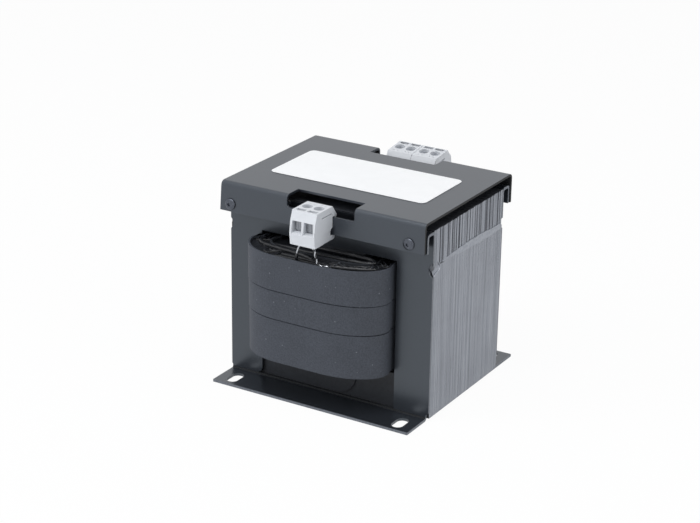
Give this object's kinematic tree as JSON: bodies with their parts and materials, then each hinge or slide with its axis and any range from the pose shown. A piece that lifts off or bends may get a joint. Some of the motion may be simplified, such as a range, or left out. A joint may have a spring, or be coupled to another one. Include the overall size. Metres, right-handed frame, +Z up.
{
  "type": "control transformer",
  "caption": "Open-frame control transformer: laminated core and taped coil between two foot brackets, a folded top cover and clip-on screw-clamp terminals at front and rear.",
  "frame": {"origin": "centre of the mounting surface, midway between the four foot slots", "axes": "+Z up from the mounting surface, -Y towards the side with one terminal, X along the row of terminals"},
  "size_m": [0.1345, 0.142, 0.1223],
  "materials": {
    "core_steel": "edge-on laminations under clear varnish",
    "weld_steel": "rippled weld",
    "bracket_steel": "dark satin",
    "cover_steel": "dark satin",
    "label_film": "matt film",
    "rivet_steel": "blackened",
    "insulating_card": "varnished card",
    "varnished_winding": "enamelled wire under black varnish",
    "barrier_film": "film",
    "coil_wrap": "varnished woven tape",
    "terminal_housing": "moulded polyamide",
    "terminal_contact": "tinned",
    "clamp_shoe": "stamped stainless sheet",
    "clamp_screw": "zinc plated",
    "tinned_lead": "tinned copper"
  },
  "bodies": {
    "frame": {"e_core_stack": "core_steel", "i_core_stack": "core_steel", "weld_bead_left": "weld_steel", "weld_bead_right": "weld_steel", "front_bracket": "bracket_steel", "rear_bracket": "bracket_steel", "top_cover": "cover_steel", "rating_label": "label_film", "rivet_front_left": "rivet_steel", "rivet_front_right": "rivet_steel", "rivet_rear_left": "rivet_steel", "rivet_rear_right": "rivet_steel", "coil_former": "insulating_card", "inner_winding": "varnished_winding", "winding_barrier": "barrier_film", "outer_winding": "varnished_winding", "wrap_band_lower": "coil_wrap", "wrap_band_middle": "coil_wrap", "wrap_band_upper": "coil_wrap", "yoke_card": "insulating_card", "front_terminal_housing": "terminal_housing", "front_terminal_cage_1": "terminal_contact", "front_terminal_lead_1": "tinned_lead", "front_terminal_cage_2": "terminal_contact", "front_terminal_lead_2": "tinned_lead", "rear_terminal_1_housing": "terminal_housing", "rear_terminal_1_cage_1": "terminal_contact", "rear_terminal_1_lead_1": "tinned_lead", "rear_terminal_1_cage_2": "terminal_contact", "rear_terminal_1_lead_2": "tinned_lead", "rear_terminal_2_housing": "terminal_housing", "rear_terminal_2_cage_1": "terminal_contact", "rear_terminal_2_lead_1": "tinned_lead", "rear_terminal_2_cage_2": "terminal_contact", "rear_terminal_2_lead_2": "tinned_lead"},
    "front_terminal_clamp_1": {"front_terminal_shoe_1": "clamp_shoe"},
    "front_terminal_screw_1": {"front_terminal_screw_1": "clamp_screw"},
    "front_terminal_clamp_2": {"front_terminal_shoe_2": "clamp_shoe"},
    "front_terminal_screw_2": {"front_terminal_screw_2": "clamp_screw"},
    "rear_terminal_1_clamp_1": {"rear_terminal_1_shoe_1": "clamp_shoe"},
    "rear_terminal_1_screw_1": {"rear_terminal_1_screw_1": "clamp_screw"},
    "rear_terminal_1_clamp_2": {"rear_terminal_1_shoe_2": "clamp_shoe"},
    "rear_terminal_1_screw_2": {"rear_terminal_1_screw_2": "clamp_screw"},
    "rear_terminal_2_clamp_1": {"rear_terminal_2_shoe_1": "clamp_shoe"},
    "rear_terminal_2_screw_1": {"rear_terminal_2_screw_1": "clamp_screw"},
    "rear_terminal_2_clamp_2": {"rear_terminal_2_shoe_2": "clamp_shoe"},
    "rear_terminal_2_screw_2": {"rear_terminal_2_screw_2": "clamp_screw"}
  },
  "joints": [
    {"name": "front_terminal_clamp_lift_1", "type": "slide", "parent": "frame", "child": "front_terminal_clamp_1", "axis": [0, 0, 1], "range_m": [0, 0.0025]},
    {"name": "front_terminal_screw_turn_1", "type": "hinge", "parent": "front_terminal_clamp_1", "child": "front_terminal_screw_1", "pos_m": [-0.00365, -0.05921, 0.1146], "axis": [0, 0, 1], "range_deg": [0, 1800]},
    {"name": "front_terminal_clamp_lift_2", "type": "slide", "parent": "frame", "child": "front_terminal_clamp_2", "axis": [0, 0, 1], "range_m": [0, 0.0025]},
    {"name": "front_terminal_screw_turn_2", "type": "hinge", "parent": "front_terminal_clamp_2", "child": "front_terminal_screw_2", "pos_m": [0.00385, -0.05921, 0.1146], "axis": [0, 0, 1], "range_deg": [0, 1800]},
    {"name": "rear_terminal_1_clamp_lift_1", "type": "slide", "parent": "frame", "child": "rear_terminal_1_clamp_1", "axis": [0, -0.1253, 0.9921], "range_m": [0, 0.0025]},
    {"name": "rear_terminal_1_screw_turn_1", "type": "hinge", "parent": "rear_terminal_1_clamp_1", "child": "rear_terminal_1_screw_1", "pos_m": [-0.0043, 0.05838, 0.11585], "axis": [0, -0.1253, 0.9921], "range_deg": [0, 1800]},
    {"name": "rear_terminal_1_clamp_lift_2", "type": "slide", "parent": "frame", "child": "rear_terminal_1_clamp_2", "axis": [0, -0.1253, 0.9921], "range_m": [0, 0.0025]},
    {"name": "rear_terminal_1_screw_turn_2", "type": "hinge", "parent": "rear_terminal_1_clamp_2", "child": "rear_terminal_1_screw_2", "pos_m": [-0.0118, 0.05838, 0.11585], "axis": [0, -0.1253, 0.9921], "range_deg": [0, 1800]},
    {"name": "rear_terminal_2_clamp_lift_1", "type": "slide", "parent": "frame", "child": "rear_terminal_2_clamp_1", "axis": [0, -0.1253, 0.9921], "range_m": [0, 0.0025]},
    {"name": "rear_terminal_2_screw_turn_1", "type": "hinge", "parent": "rear_terminal_2_clamp_1", "child": "rear_terminal_2_screw_1", "pos_m": [0.0122, 0.05838, 0.11585], "axis": [0, -0.1253, 0.9921], "range_deg": [0, 1800]},
    {"name": "rear_terminal_2_clamp_lift_2", "type": "slide", "parent": "frame", "child": "rear_terminal_2_clamp_2", "axis": [0, -0.1253, 0.9921], "range_m": [0, 0.0025]},
    {"name": "rear_terminal_2_screw_turn_2", "type": "hinge", "parent": "rear_terminal_2_clamp_2", "child": "rear_terminal_2_screw_2", "pos_m": [0.0047, 0.05838, 0.11585], "axis": [0, -0.1253, 0.9921], "range_deg": [0, 1800]}
  ],
  "couplings": [
    {"joint": "front_terminal_screw_turn_1", "follows": "front_terminal_clamp_lift_1", "rad_per_m": 12566},
    {"joint": "front_terminal_screw_turn_2", "follows": "front_terminal_clamp_lift_2", "rad_per_m": 12566},
    {"joint": "rear_terminal_1_screw_turn_1", "follows": "rear_terminal_1_clamp_lift_1", "rad_per_m": 12566},
    {"joint": "rear_terminal_1_screw_turn_2", "follows": "rear_terminal_1_clamp_lift_2", "rad_per_m": 12566},
    {"joint": "rear_terminal_2_screw_turn_1", "follows": "rear_terminal_2_clamp_lift_1", "rad_per_m": 12566},
    {"joint": "rear_terminal_2_screw_turn_2", "follows": "rear_terminal_2_clamp_lift_2", "rad_per_m": 12566}
  ]
}
